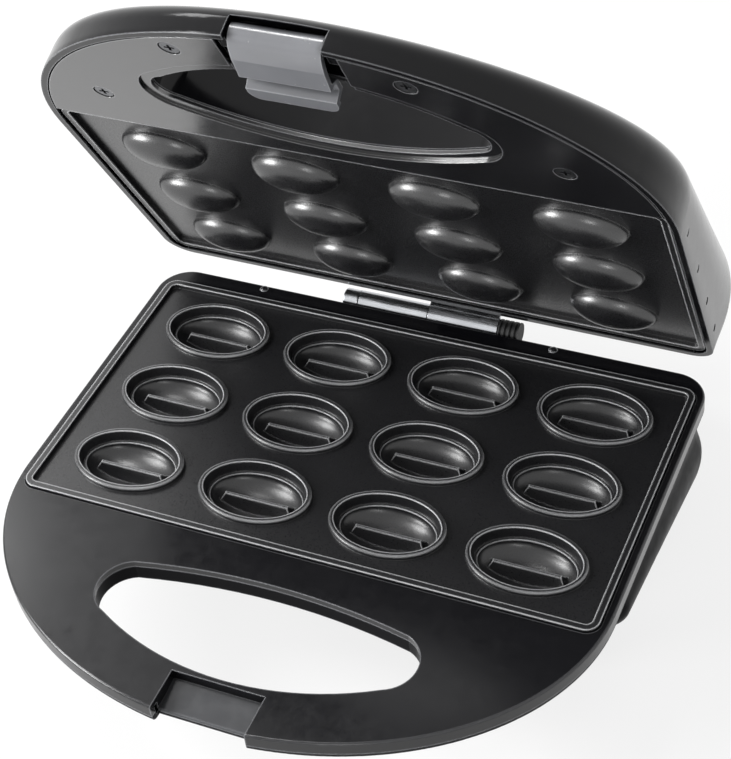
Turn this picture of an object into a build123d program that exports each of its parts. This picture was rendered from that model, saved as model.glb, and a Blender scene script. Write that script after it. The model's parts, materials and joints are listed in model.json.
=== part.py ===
from build123d import *
import os
from math import atan, cos, sin

# Electric nut cookie maker, standing open on its feet.
# Millimetres. While it is modelled, height 0 is the rim of the lower mould plate,
# x = 0 and y = 0 are the middle of that plate, and the handle points to -Y.
# The lid is modelled closed and is then swung open about the hinge.

# Pose that the parts are stored in
lid_open_deg = 62.1

# Casing, seen from above: straight back, straight sides and a half-elliptic handle
case_half = 114.0
case_back_y = 68.4
nose_start_y = -50.0
base_nose = 87.5
lid_nose = 91.0
case_corner = 13.0
lid_corner = 10.0
wall = 2.5
fit_gap = 0.3
parting_gap = 0.5

# Lower deck and handle
deck_top_z = -1.0
deck_thick = 2.5
deck_skirt_z = -6.2
deck_edge_round = 0.8
handle_bottom_z = -9.5
handle_floor = 2.0
handle_round = 3.0

# Lower casing under the plate
tub_half = 113.4
tub_start_y = -33.0
tub_nose = 29.0
tub_fan_y = -118.0
tub_slope = 0.25
floor_z = -54.0
foot_pad = 3.0
foot_radius = 9.0
front_foot = (76.0, -39.0)
rear_foot = (84.0, 44.0)
vent_count = 5
vent_pitch = 16.0
vent_width = 3.4
vent_length = 32.0

# Upper casing
lid_fan_y = -222.0
lid_slope = 0.17
lid_back_cut = 4.8
lid_back_bulge = 3.5
crown_corner = 0.6
bezel_thick = 2.5
bezel_inset = 3.0

# Mould plates
plate_half_x = 110.6
plate_front_y = -61.2
plate_back_y = 60.0
plate_corner = 5.0
plate_gap = 0.5
plate_drop = 2.0
plate_web = 2.2
rim_width = 2.6
mould_columns = 4
mould_rows = 3
pitch_x = 52.0
pitch_y = 37.28
ring_a = 21.85
ring_b = 15.23
ring_width = 1.9
ring_round = 0.7
cup_step_depth = 4.2
cup_draft = 1.0
cup_step = 1.1
cup_depth = 10.2
cup_wall = 2.2
ridge_half = 12.5
ridge_slant = 3.5
ridge_thick = 1.1
ridge_foot = 4.4
ridge_crest = 5.4
dome_a = 16.6
dome_b = 11.3
dome_height = 7.0
dome_wall = 2.2
ledge_thick = 1.6
ledge_width = 4.6
ledge_rim = 1.6
plate_screw_x = 52.0
plate_screw_y = 55.0
plate_screw_tab = 4.2

# Hinge
hinge_y = 73.1
hinge_z = -3.0
barrel_radius = 4.3
hinge_pin_radius = 2.4
hinge_play = 0.05
hinge_left_x = -31.0
hinge_split_x = -1.7
hinge_right_x = 27.6
knuckle_gap = 0.4
pin_head_length = 6.4
pin_head_radius = 4.2
leaf_thick = 1.5
leaf_relief = 0.4
leaf_reach = 21.0
leaf_screw_inset = 6.0
sleeve_length = 8.2
sleeve_radius = 4.4
sleeve_rib = 0.7
sleeve_ribs = 4
lug_drop = 7.5

# Handle openings: half width, back edge, front edge, ends
base_hole_half = 60.0
base_hole_back = -76.0
base_hole_back_end = -81.5
base_hole_front = -118.5
base_hole_front_end = -105.0
base_hole_tip_y = -93.0
base_hole_end_x = 52.0
lid_hole_half = 59.0
lid_hole_back = -72.0
lid_hole_back_end = -85.0
lid_hole_front = -118.5
lid_hole_front_end = -101.0
lid_hole_tip_y = -92.5
lid_hole_end_x = 53.0
lip_width = 3.8
lip_depth = 1.0
hole_wall = 2.2

# Latch
latch_half = 15.5
latch_side_gap = 0.8
latch_pivot_y = -135.8
latch_pivot_z = 4.0
latch_barrel = 2.6
latch_barrel_gap = 0.6
latch_pin_radius = 1.25
latch_thick = 1.9
latch_crease = (5.8, -6.9)
latch_skirt_end = (14.5, -8.1)
latch_groove_z = -4.6
latch_groove_start = 15.1
latch_groove_end = 19.6
latch_tab_start = 21.0
latch_tab_end = 27.2
latch_tab_z = -8.6
latch_tab_corner = 4.2
cheek = 3.4
cheek_high = 3.8
cheek_back = 5.0
notch_half = 20.4
sill_front_y = -132.2
pocket_half = 17.2
pocket_back_y = -120.2
catch_back_z = -4.9
catch_front_z = -6.9
catch_bed_z = -8.1

# Heaters and what is fixed round them
element_radius = 3.2
element_leg_x = 98.0
element_bow_x = 101.0
element_bend = 9.0
rib_depth = 1.8
rib_width = 7.0
element_play = 0.12
pin_radius = 1.2
pin_length = 5.0
clamp_x = 52.0
clamp_boss = 2.6
clamp_reach = 6.6
clamp_edge = 2.6
clamp_thick = 1.0
clamp_half_x = 5.0
column_x = 52.0
column_radius = 3.2
reflector_drop = 16.0
reflector_sheet = 0.6
reflector_half = 102.0
reflector_front = -40.0
reflector_back = 50.5
reflector_corner = 12.0
reflector_lip = 2.6
thermostat_radius = 8.0
thermostat_height = 7.0
fuse_radius = 2.2
fuse_length = 16.0
fuse_x = -37.0
wire_radius = 1.3
wire_bend = 3.0
wire_run_x = 107.0
block_x = -52.0
block_y = 43.0
block_length = 30.0
block_width = 14.0
block_height = 13.0
stand_height = 6.0
gland_x = -80.0
gland_z = -30.0
gland_bore = 3.4
gland_radius = 6.0
gland_collar = 8.5
gland_outside = 3.0
gland_inside = 8.0
gland_seat_depth = 0.3

# Small fasteners, lamps and trim
handle_screws = ((39.6, -125.4), (81.5, -83.1))
screw_head = 3.4
screw_head_thick = 1.3
screw_shank = 1.5
screw_length = 9.0
screw_sink = 0.25
cross_width = 0.9
cross_depth = 0.7
boss_wall = 2.6
small_head = 2.3
small_shank = 1.1
lamp_x = 11.0
lamp_y = 34.0
lamp_radius = 3.2
lamp_gap = 0.15
lamp_proud = 1.2
lamp_flange = 1.6
side_stud_y = (-41.0, -11.0, 18.0, 44.0)
side_stud_z = 5.0
side_stud_radius = 1.5
side_stud_depth = 1.0
bump_x = (-71.0, 52.0)
bump_y = 66.2
bump_radius = 2.2
bump_height = 1.0
cross_length = 3.6
small_head_thick = 1.3
leaf_head_thick = 1.2

# Heights that follow from the sizes above
lid_rim_z = deck_top_z + parting_gap
seat_z = -plate_drop - plate_web
ledge_low_z = seat_z - ledge_thick
element_z = seat_z - rib_depth - element_play - element_radius
clamp_z = element_z - element_radius - element_play
sheet_z = -reflector_drop
mid_z = parting_gap / 2
leg_y = pitch_y / 2
sleeve_x = hinge_right_x + knuckle_gap
latch_notch = latch_half + latch_side_gap
latch_slot_z = latch_pivot_z + latch_barrel + latch_barrel_gap
gland_seat_y = case_back_y - gland_seat_depth
block_seat_z = deck_skirt_z - (block_y - tub_fan_y) * tub_slope + wall + stand_height


# Plain shapes

def between(face, low, high):
    """Prism on a flat outline from one height to another."""
    return Pos(0, 0, low) * extrude(face, high - low)


def block(x0, x1, y0, y1, z0, z1):
    return Pos((x0 + x1) / 2, (y0 + y1) / 2, (z0 + z1) / 2) * Box(x1 - x0, y1 - y0, z1 - z0)


def rod(x, y, z0, z1, radius):
    return Pos(x, y, (z0 + z1) / 2) * Cylinder(radius, abs(z1 - z0))


def rod_x(x0, x1, y, z, radius):
    return Pos((x0 + x1) / 2, y, z) * Rot(0, 90, 0) * Cylinder(radius, x1 - x0)


def rod_y(x, y0, y1, z, radius):
    return Pos(x, (y0 + y1) / 2, z) * Rot(90, 0, 0) * Cylinder(radius, y1 - y0)


def ellipsoid(x, y, z, a, b, c):
    return Pos(x, y, z) * scale(Sphere(1.0), by=(a, b, c))


def wire_tube(points, radius, bend):
    """Round wire along straight runs joined by arcs."""
    path = FilletPolyline(*points, radius=bend)
    section = Plane(origin=path @ 0, z_dir=path % 0) * Circle(radius)
    return sweep(section, path=path)


def both_sides(points):
    return [(side * x, y) for side in (-1, 1) for x, y in points]


def group(shapes):
    return Compound(children=[solid for shape in shapes for solid in shape.solids()])


def upside_down(shape):
    """The upper half's copy of a piece, mirrored in the parting plane."""
    return mirror(shape, about=Plane(origin=(0, 0, mid_z), z_dir=(0, 0, 1)))


# Outlines

def d_face(half, back_y, start_y, nose, corner, stretch=1.0, from_y=0.0):
    """Plan of the casing; stretch lengthens y measured from from_y, for a tilted plane."""
    back = (back_y - from_y) * stretch
    start = (start_y - from_y) * stretch
    return make_face([
        Line((-half, start), (-half, back - corner)),
        CenterArc((-half + corner, back - corner), corner, 180, -90),
        Line((-half + corner, back), (half - corner, back)),
        CenterArc((half - corner, back - corner), corner, 90, -90),
        Line((half, back - corner), (half, start)),
        EllipticalCenterArc((0, start), half, nose * stretch, start_angle=0, arc_size=-90),
        EllipticalCenterArc((0, start), half, nose * stretch, start_angle=270, arc_size=-90),
    ])


def case_plan(nose, inset=0.0):
    return d_face(case_half - inset, case_back_y - inset, nose_start_y, nose - inset,
                  max(case_corner - inset, 2.0))


def lens_face(half, back, back_end, front, front_end, tip_y, end_x, grow=0.0):
    """Outline of a handle opening: two long arcs joined by rounded ends."""
    x = end_x + grow * 0.6
    tip = half + grow
    rear = back_end + grow
    near = front_end - grow
    return make_face([
        ThreePointArc((-x, rear), (0, back + grow), (x, rear)),
        ThreePointArc((x, rear), (tip, tip_y), (x, near)),
        ThreePointArc((x, near), (0, front - grow), (-x, near)),
        ThreePointArc((-x, near), (-tip, tip_y), (-x, rear)),
    ])


def base_hole(grow=0.0):
    return lens_face(base_hole_half, base_hole_back, base_hole_back_end, base_hole_front,
                     base_hole_front_end, base_hole_tip_y, base_hole_end_x, grow)


def lid_hole(grow=0.0):
    return lens_face(lid_hole_half, lid_hole_back, lid_hole_back_end, lid_hole_front,
                     lid_hole_front_end, lid_hole_tip_y, lid_hole_end_x, grow)


def plate_face(grow=0.0):
    width = 2 * (plate_half_x + grow)
    length = plate_back_y - plate_front_y + 2 * grow
    middle = (plate_back_y + plate_front_y) / 2
    return Pos(0, middle) * RectangleRounded(width, length, max(plate_corner + grow, 1.0))


def mould_centres():
    for row in range(mould_rows):
        for column in range(mould_columns):
            x = (column - (mould_columns - 1) / 2) * pitch_x
            y = (row - (mould_rows - 1) / 2) * pitch_y
            yield x, y


def plate_screw_places():
    return [(side * plate_screw_x, end * plate_screw_y) for side in (-1, 1) for end in (-1, 1)]


# Crowned casings: outlines on planes that fan out from one line across the front

lid_levels = (
    (0.0, 0.0, -lid_back_cut),
    (0.20, 0.1, -lid_back_cut * 0.15),
    (0.42, 0.4, lid_back_bulge),
    (0.65, 2.0, lid_back_bulge),
    (0.83, 6.2, lid_back_bulge),
    (0.94, 13.0, lid_back_bulge),
    (1.0, 24.0, lid_back_bulge),
)

tub_levels = (
    (0.0, 0.0, 0.0),
    (-0.45, 0.2, 0.0),
    (-0.78, 1.0, 0.0),
    (-0.91, 3.5, 0.0),
    (-0.975, 8.0, 0.0),
    (-1.0, 17.0, 0.0),
)


def fan_body(levels, fan_y, slope, rim_z, plan, inset, sink):
    """Loft through tilted outlines. A level is (share of the slope, inset, shift of the back).

    Bodies that are inset, for hollows, have straight sides between the outlines.
    """
    half, back_y, start_y, nose, corner = plan
    faces = []
    for share, level_inset, back_shift in levels:
        tilt = atan(slope * share)
        total = level_inset + inset
        plane = Plane(origin=(0, fan_y, rim_z + sink * min(1.0, abs(share))),
                      x_dir=(1, 0, 0), z_dir=(0, -sin(tilt), cos(tilt)))
        outline = d_face(half - total, back_y + back_shift - total, start_y, nose - total,
                         corner - inset + level_inset * crown_corner, 1 / cos(tilt), fan_y)
        faces.append(plane * outline)
    return loft(faces, ruled=inset > 0)


def lid_body(inset=0.0, sink=0.0):
    plan = (case_half, case_back_y, nose_start_y, lid_nose, lid_corner)
    return fan_body(lid_levels, lid_fan_y, lid_slope, lid_rim_z, plan, inset, -sink)


def tub_body(inset=0.0, sink=0.0):
    plan = (tub_half, case_back_y, tub_start_y, tub_nose, case_corner)
    return fan_body(tub_levels, tub_fan_y, tub_slope, deck_skirt_z, plan, inset, sink)


# Lower casing

def make_base_shell():
    tray = between(case_plan(base_nose), handle_bottom_z, deck_skirt_z)
    tray = fillet(tray.faces().sort_by(Axis.Z)[0].outer_wire().edges(), handle_round)
    outer = (tray + tub_body()) & block(-200, 200, -200, case_back_y, -100, 10)
    inner = tub_body(wall, wall)
    shell = outer - inner
    shell -= between(case_plan(base_nose, wall), handle_bottom_z + handle_floor, 0)
    for x, y in both_sides([front_foot, rear_foot]):
        leg = rod(x, y, floor_z + foot_pad, handle_bottom_z - handle_floor, foot_radius - 1)
        shell += leg - inner
    shell += between(base_hole(hole_wall), handle_bottom_z + 1, deck_top_z - deck_thick)
    shell += block(-pocket_half - wall, pocket_half + wall, sill_front_y, base_hole_front,
                   handle_bottom_z + 0.5, deck_skirt_z)
    for x, y in both_sides(handle_screws):
        shell += rod(x, y, handle_bottom_z + 1, deck_top_z - deck_thick, screw_head + 1)
    stand = block(block_x - block_length / 2, block_x + block_length / 2,
                  block_y - block_width / 2, block_y + block_width / 2,
                  block_seat_z - 2 * stand_height, block_seat_z)
    shell += stand & tub_body(wall / 2, wall / 2)
    shell += block(sleeve_x + 1, sleeve_x + sleeve_length - 1, case_back_y - 1, hinge_y,
                   hinge_z - sleeve_radius - lug_drop, hinge_z)
    for x in base_leaf_screws():
        for z in leaf_screw_heights(-1):
            shell += rod_y(x, case_back_y - 7, case_back_y - 1, z, small_shank + boss_wall)
    return shell - base_shell_openings()


def base_shell_openings():
    cuts = [between(base_hole(), handle_bottom_z - 1, 0), pocket_block()]
    cuts.append(between(case_plan(base_nose) - case_plan(base_nose, wall), deck_skirt_z, 10))
    cuts.append(block(-pocket_half, pocket_half, -160, sill_front_y, handle_bottom_z - 1, 0))
    cuts.append(block(-pocket_half, pocket_half, -160, pocket_back_y, catch_bed_z, 0))
    for x, y in both_sides(handle_screws):
        cuts.append(rod(x, y, handle_bottom_z - 1, 0, screw_shank + 0.05))
        cuts.append(rod(x, y, handle_bottom_z - 1, handle_bottom_z + screw_head_thick + screw_sink,
                        screw_head + fit_gap))
    cuts.append(rod_x(sleeve_x - 2, sleeve_x + sleeve_length + 2, hinge_y, hinge_z, sleeve_radius))
    cuts.append(wire_tube(feed_route(), wire_radius + 0.2, wire_bend))
    cuts.append(rod_y(gland_x, gland_seat_y - gland_inside, case_back_y + 3, gland_z,
                      gland_radius))
    cuts.append(rod_y(gland_x, gland_seat_y, case_back_y + 3, gland_z, gland_collar + 0.2))
    for x in base_leaf_screws():
        for z in leaf_screw_heights(-1):
            cuts.append(rod_y(x, case_back_y - 8, case_back_y + 1, z, small_shank + 0.05))
    for number in range(vent_count):
        x = (number - (vent_count - 1) / 2) * vent_pitch
        cuts.append(block(x - vent_width / 2, x + vent_width / 2, -vent_length / 2,
                          vent_length / 2, floor_z, block_seat_z + 6))
    return cuts


def pocket_block():
    """Part of the deck that is solid round the latch pocket."""
    return block(-pocket_half - wall, pocket_half + wall, sill_front_y, base_hole_front + 4,
                 deck_skirt_z, deck_top_z - 1)


def make_latch_catch():
    """Sloped insert in the deck that the latch rides over and grips under."""
    outline = Polygon((sill_front_y, catch_bed_z), (pocket_back_y, catch_bed_z),
                      (pocket_back_y, catch_back_z), (sill_front_y, catch_front_z), align=None)
    catch = extrude(Plane.YZ * outline, pocket_half, both=True)
    return fillet(catch.edges().filter_by(Axis.X).sort_by(Axis.Y)[:2].sort_by(Axis.Z)[-1], 0.5)


def make_base_deck():
    deck = between(case_plan(base_nose), deck_skirt_z, deck_top_z)
    deck = fillet(deck.faces().sort_by(Axis.Z)[-1].outer_wire().edges(), deck_edge_round)
    deck -= between(case_plan(base_nose, wall), deck_skirt_z - 1, deck_top_z - deck_thick)
    deck += between(plate_face(plate_gap + ledge_rim), ledge_low_z, deck_top_z - 1)
    deck += pocket_block()
    deck -= between(plate_face(plate_gap), seat_z, 1)
    deck -= between(plate_face(-ledge_width), ledge_low_z - 1, 1)
    for x, y in plate_screw_places():
        deck += rod(x, y, ledge_low_z, seat_z, plate_screw_tab)
    cuts = [between(base_hole(), deck_skirt_z - 1, 1)]
    cuts.append(block(-pocket_half, pocket_half, -160, pocket_back_y, deck_skirt_z - 1, 1))
    for x, y in both_sides(handle_screws):
        cuts.append(rod(x, y, deck_skirt_z - 1, deck_top_z - 0.8, screw_shank + 0.05))
    for x, y in plate_screw_places():
        cuts.append(rod(x, y, ledge_low_z - 1, seat_z + 1, small_shank + 0.2))
    for x in bump_x:
        cuts.append(rod(x, bump_y, deck_skirt_z, 1, small_shank + 0.05))
    return deck - cuts


# Mould plates

def mould_plate_blank():
    plate = between(plate_face(), seat_z, 0)
    return plate - between(plate_face(-rim_width), -plate_drop, 1)


def plate_back_features():
    """Ribs, bosses and columns on the back of a plate for its heater and reflector."""
    shapes = []
    for side in (-1, 1):
        y = side * leg_y
        shapes.append(block(-element_leg_x, element_leg_x, y - rib_width / 2, y + rib_width / 2,
                            seat_z - rib_depth, seat_z))
        for end in (-1, 1):
            for step in (-1, 1):
                shapes.append(rod(end * clamp_x, y + step * clamp_reach, clamp_z, seat_z,
                                  clamp_boss))
        shapes.append(rod(side * column_x, 0, sheet_z, seat_z, column_radius))
    return shapes


def plate_back_holes():
    holes = []
    for x, y in clamp_screw_places():
        holes.append(rod(x, y, clamp_z - 1, seat_z, small_shank + 0.05))
    for side in (-1, 1):
        holes.append(rod(side * column_x, 0, sheet_z - 1, seat_z - 4, small_shank + 0.05))
    for x, y in plate_screw_places():
        holes.append(rod(x, y, seat_z - 1, seat_z + 1.4, small_shank + 0.05))
    return holes


def clamp_screw_places():
    return [(end * clamp_x, side * leg_y + step * clamp_reach)
            for end in (-1, 1) for side in (-1, 1) for step in (-1, 1)]


def cup_outside(x, y):
    return ellipsoid(x, y, -plate_drop, ring_a - ring_width + cup_wall * 0.5,
                     ring_b - ring_width + cup_wall * 0.5, cup_depth + cup_wall - plate_drop)


def cup_inside(x, y):
    a = ring_a - ring_width
    b = ring_b - ring_width
    mouth = Pos(x, y, 0.01) * Ellipse(a, b)
    foot = Pos(x, y, -cup_step_depth) * Ellipse(a - cup_draft, b - cup_draft)
    bowl = ellipsoid(x, y, -cup_step_depth, a - cup_draft - cup_step, b - cup_draft - cup_step,
                     cup_depth - cup_step_depth)
    return loft([mouth, foot]) + bowl


def cup_ridge(x, y):
    """Rib along a cup: a narrow rounded crest on flanks that widen into the bowl."""
    foot = Pos(0, 0, -cup_depth - cup_wall / 2) * Rectangle(
        2 * (ridge_half + ridge_slant), 2 * ridge_foot)
    crest = Pos(0, 0, -ridge_crest) * Rectangle(2 * ridge_half, ridge_thick)
    rib = loft([foot, crest], ruled=True)
    rib = fillet(rib.edges().group_by(Axis.Z)[-1].filter_by(Axis.X), ridge_thick * 0.4)
    return Pos(x, y, 0) * rib & cup_outside(x, y)


def make_lower_plate():
    plate = mould_plate_blank() + plate_back_features()
    plate += [cup_outside(x, y) & block(-200, 200, -200, 200, -60, -plate_drop - 0.5)
              for x, y in mould_centres()]
    rings = []
    for x, y in mould_centres():
        ring = Pos(x, y, -plate_drop - 0.5) * extrude(Ellipse(ring_a, ring_b), plate_drop + 0.5)
        rings.append(fillet(ring.edges().group_by(Axis.Z)[-1], ring_round))
    plate += rings
    plate -= [cup_inside(x, y) for x, y in mould_centres()]
    plate += [cup_ridge(x, y) for x, y in mould_centres()]
    return plate - plate_back_holes()


def make_upper_plate():
    plate = mould_plate_blank() + plate_back_features() - plate_back_holes()
    plate = upside_down(plate)
    web_z = parting_gap + plate_drop
    plate += [ellipsoid(x, y, web_z, dome_a, dome_b, dome_height)
              & block(-200, 200, -200, 200, -60, web_z + 0.5) for x, y in mould_centres()]
    plate -= [ellipsoid(x, y, web_z, dome_a - dome_wall, dome_b - dome_wall,
                        dome_height - dome_wall)
              + Pos(x, y, web_z) * extrude(Ellipse(dome_a - dome_wall, dome_b - dome_wall),
                                           plate_web + 1) for x, y in mould_centres()]
    return plate


# Heater set, made for the lower half and mirrored for the upper one

def make_element():
    path = FilletPolyline((-element_leg_x, -leg_y, element_z), (element_bow_x, -leg_y, element_z),
                          (element_bow_x, leg_y, element_z), (-element_leg_x, leg_y, element_z),
                          radius=element_bend)
    section = Plane(origin=path @ 0, z_dir=path % 0) * Circle(element_radius)
    tube = sweep(section, path=path)
    for side in (-1, 1):
        tube += rod_x(-element_leg_x - pin_length, -element_leg_x, side * leg_y, element_z,
                      pin_radius)
    return tube


def make_clamps():
    straps = []
    for end in (-1, 1):
        for side in (-1, 1):
            y = side * leg_y
            reach = clamp_reach + clamp_edge
            strap = block(end * clamp_x - clamp_half_x, end * clamp_x + clamp_half_x,
                          y - reach, y + reach, clamp_z - clamp_thick, clamp_z)
            for step in (-1, 1):
                strap -= rod(end * clamp_x, y + step * clamp_reach, clamp_z - 5, clamp_z + 1,
                             small_shank + 0.2)
            straps.append(strap)
    return group(straps)


def small_screw(x, y, seat, depth):
    """Pan screw with its head under the seat height and its shank upwards."""
    head = rod(x, y, seat - small_head_thick, seat, small_head)
    return head + rod(x, y, seat - small_head_thick / 2, seat + depth, small_shank)


def make_clamp_screws():
    return group([small_screw(x, y, clamp_z - clamp_thick, 5.0) for x, y in clamp_screw_places()])


def make_reflector():
    middle = (reflector_front + reflector_back) / 2
    length = reflector_back - reflector_front
    tray = between(Pos(0, middle) * RectangleRounded(2 * reflector_half, length,
                                                     reflector_corner),
                   sheet_z - reflector_sheet, sheet_z + reflector_lip)
    hollow = between(Pos(0, middle) * RectangleRounded(
        2 * (reflector_half - reflector_sheet), length - 2 * reflector_sheet,
        reflector_corner - reflector_sheet), sheet_z, sheet_z + reflector_lip + 1)
    tray -= hollow
    for side in (-1, 1):
        tray -= rod(side * column_x, 0, sheet_z - 3, sheet_z + 1, small_shank + 0.2)
    return tray


def make_reflector_screws():
    return group([small_screw(side * column_x, 0, sheet_z - reflector_sheet, 5.0)
                  for side in (-1, 1)])


def make_plate_screws():
    return group([small_screw(x, y, ledge_low_z, ledge_thick + 1.2)
                  for x, y in plate_screw_places()])


def can_z():
    return sheet_z - reflector_sheet - thermostat_height / 2


def make_thermostat():
    top = sheet_z - reflector_sheet
    can = rod(0, 0, top - thermostat_height, top, thermostat_radius)
    can = fillet(can.edges().group_by(Axis.Z)[0], 0.8)
    return can + block(-12, 12, -3, 3, top - 0.8, top)


def make_fuse():
    body = rod_x(fuse_x - fuse_length / 2, fuse_x + fuse_length / 2, 0, can_z(), fuse_radius)
    return body - rod_x(fuse_x - fuse_length, fuse_x + fuse_length, 0, can_z(),
                        wire_radius + 0.02)


def heater_lead(side):
    """Points from one heater pin out past the reflector's edge."""
    return [(-element_leg_x - pin_length, side * leg_y, element_z),
            (-wire_run_x, side * leg_y, element_z)]


# Wiring of the base

def make_terminal_block():
    body = block(block_x - block_length / 2, block_x + block_length / 2,
                 block_y - block_width / 2, block_y + block_width / 2,
                 block_seat_z, block_seat_z + block_height)
    for step in (-1, 0, 1):
        body -= rod(block_x + step * block_length / 3.4, block_y, block_seat_z + block_height - 4,
                    block_seat_z + block_height + 1, 2.2)
    return body


def lead_x():
    return sleeve_x + sleeve_length / 2


def lead_y():
    return (case_back_y + hinge_y) / 2


def lead_z():
    return hinge_z - sleeve_radius - lug_drop / 2


def feed_route():
    """Points of the lid's feed lead, from the terminal block up into the hinge sleeve."""
    level = block_seat_z + block_height / 2
    back = block_y + block_width / 2
    right = block_x + block_length / 2
    return [(right - 6, back, level), (right - 6, back + 7, level), (lead_x(), back + 7, level),
            (lead_x(), back + 7, lead_z()), (lead_x(), lead_y(), lead_z()),
            (lead_x(), lead_y(), hinge_z - sleeve_radius)]


def make_base_leads():
    level = block_seat_z + block_height / 2
    back = block_y + block_width / 2
    left = block_x - block_length / 2
    right = block_x + block_length / 2
    can = thermostat_radius
    routes = [
        heater_lead(1) + [(-wire_run_x, leg_y, level), (-wire_run_x, block_y - 3, level),
                          (left, block_y - 3, level)],
        heater_lead(-1) + [(-wire_run_x, -leg_y, can_z()), (-wire_run_x, 0, can_z()),
                           (-can, 0, can_z())],
        [(can, 0, can_z()), (can + 12, 0, can_z()), (can + 12, block_y, can_z()),
         (can + 12, block_y, level), (right, block_y, level)],
        [(gland_x, gland_seat_y - gland_inside, gland_z), (gland_x, back + 6, gland_z),
         (left + 8, back + 6, gland_z), (left + 8, back, gland_z)],
        feed_route(),
    ]
    return group([wire_tube(points, wire_radius, wire_bend) for points in routes])


def make_cord_gland():
    back = gland_seat_y - gland_inside
    front = gland_seat_y + gland_outside
    body = rod_y(gland_x, back, gland_seat_y, gland_z, gland_radius)
    body += rod_y(gland_x, gland_seat_y, front, gland_z, gland_collar)
    return body - rod_y(gland_x, back - 1, front + 1, gland_z, gland_bore)


def make_feet(place):
    pads = []
    for x, y in both_sides([place]):
        pad = rod(x, y, floor_z, floor_z + foot_pad, foot_radius)
        pads.append(fillet(pad.edges().group_by(Axis.Z)[0], 0.8))
    return group(pads)


def cross_screw(x, y, face_z, up):
    """Cross-head screw whose head face lies at face_z; up is 1 if it is driven upwards."""
    head = rod(x, y, face_z, face_z + up * screw_head_thick, screw_head)
    screw = head + rod(x, y, face_z + up * 0.5, face_z + up * screw_length, screw_shank)
    for wide, long in ((cross_width, cross_length), (cross_length, cross_width)):
        screw -= block(x - wide / 2, x + wide / 2, y - long / 2, y + long / 2,
                       min(face_z - up, face_z + up * cross_depth),
                       max(face_z - up, face_z + up * cross_depth))
    return screw


def make_base_screws():
    length_limit = deck_top_z - 0.9
    screws = [cross_screw(x, y, handle_bottom_z + screw_sink, 1)
              & block(-200, 200, -200, 200, -60, length_limit)
              for x, y in both_sides(handle_screws)]
    return group(screws)


def make_ledge_bumps():
    bumps = []
    for x in bump_x:
        dome = Pos(x, bump_y, deck_top_z + bump_height - bump_radius) * Sphere(bump_radius)
        dome &= block(-200, 200, -200, 200, deck_top_z, 20)
        bumps.append(dome + rod(x, bump_y, deck_top_z - 2, deck_top_z + 0.5, small_shank))
    return group(bumps)


# Hinge

def knuckle(x0, x1):
    return rod_x(x0, x1, hinge_y, hinge_z, barrel_radius)


def leaf_screw_heights(side):
    return [hinge_z + side * leaf_reach * share for share in (0.5, 0.85)]


def leaf_screw_places(x0, x1):
    return [x0 + leaf_screw_inset, x1 - leaf_screw_inset]


def base_leaf_screws():
    return leaf_screw_places(hinge_left_x, hinge_split_x)


def lid_leaf_screws():
    return leaf_screw_places(hinge_split_x + knuckle_gap, hinge_right_x)


def make_leaf(x0, x1, side):
    """Knuckle and plate of one hinge half; side is -1 for the base and 1 for the lid."""
    low = min(hinge_z, hinge_z + side * leaf_reach)
    high = max(hinge_z, hinge_z + side * leaf_reach)
    leaf = knuckle(x0, x1)
    leaf += block(x0, x1, case_back_y, case_back_y + leaf_thick, low, high)
    leaf -= rod_x(x0 - 1, x1 + 1, hinge_y, hinge_z, hinge_pin_radius + hinge_play)
    if side > 0:
        leaf -= block(x0 - 1, x1 + 1, case_back_y - 1, case_back_y + leaf_relief,
                      hinge_z - 10, lid_rim_z)
    for x in leaf_screw_places(x0, x1):
        for z in leaf_screw_heights(side):
            leaf -= rod_y(x, case_back_y - 1, case_back_y + leaf_thick + 1, z, small_shank + 0.2)
    return leaf


def make_leaf_screws(places, side):
    screws = []
    face = case_back_y + leaf_thick
    for x in places:
        for z in leaf_screw_heights(side):
            screws.append(rod_y(x, face, face + leaf_head_thick, z, small_head)
                          + rod_y(x, face - 6, face + 0.5, z, small_shank))
    return group(screws)


def make_hinge_pin():
    pin = rod_x(hinge_left_x - knuckle_gap, hinge_right_x, hinge_y, hinge_z, hinge_pin_radius)
    head = rod_x(hinge_left_x - knuckle_gap - pin_head_length, hinge_left_x - knuckle_gap,
                 hinge_y, hinge_z, pin_head_radius)
    return pin + fillet(head.edges(), 0.6)


def make_sleeve():
    body = rod_x(sleeve_x, sleeve_x + sleeve_length, hinge_y, hinge_z, sleeve_radius)
    pitch = sleeve_length / sleeve_ribs
    for number in range(sleeve_ribs):
        middle = sleeve_x + (number + 0.5) * pitch
        groove = rod_x(middle - pitch * 0.22, middle + pitch * 0.22, hinge_y, hinge_z,
                       sleeve_radius + 1)
        groove -= rod_x(middle - pitch, middle + pitch, hinge_y, hinge_z,
                        sleeve_radius - sleeve_rib)
        body -= groove
    return body


# Upper casing

def make_lid_shell():
    outer = lid_body()
    inner = lid_body(wall, wall)
    inside = lid_body(wall / 2, wall / 2)
    shell = outer - inner
    top = 80
    shell += between(lid_hole(hole_wall), lid_rim_z + bezel_thick + fit_gap, top) & inside
    bosses = [rod(x, y, lid_rim_z + bezel_thick, top, screw_shank + boss_wall)
              for x, y in both_sides(handle_screws)]
    for side in (-1, 1):
        edge = side * latch_notch
        far = side * (latch_notch + cheek)
        bosses.append(block(min(edge, far), max(edge, far), -150, latch_pivot_y + cheek_back,
                            latch_pivot_z - cheek, latch_pivot_z + cheek_high))
    pad = block(hinge_split_x - 3, hinge_right_x + 3, plate_back_y + 2.6, case_back_y + 8,
                hinge_z + 6, hinge_z + leaf_reach + 4)
    bosses.append(pad)
    shell += [boss & inside for boss in bosses]
    shell += block(-case_half + 8, case_half - 8, plate_back_y + 0.7, plate_back_y + 2.6,
                   lid_rim_z, lid_rim_z + 3) & outer
    return shell - lid_shell_openings()


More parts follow.
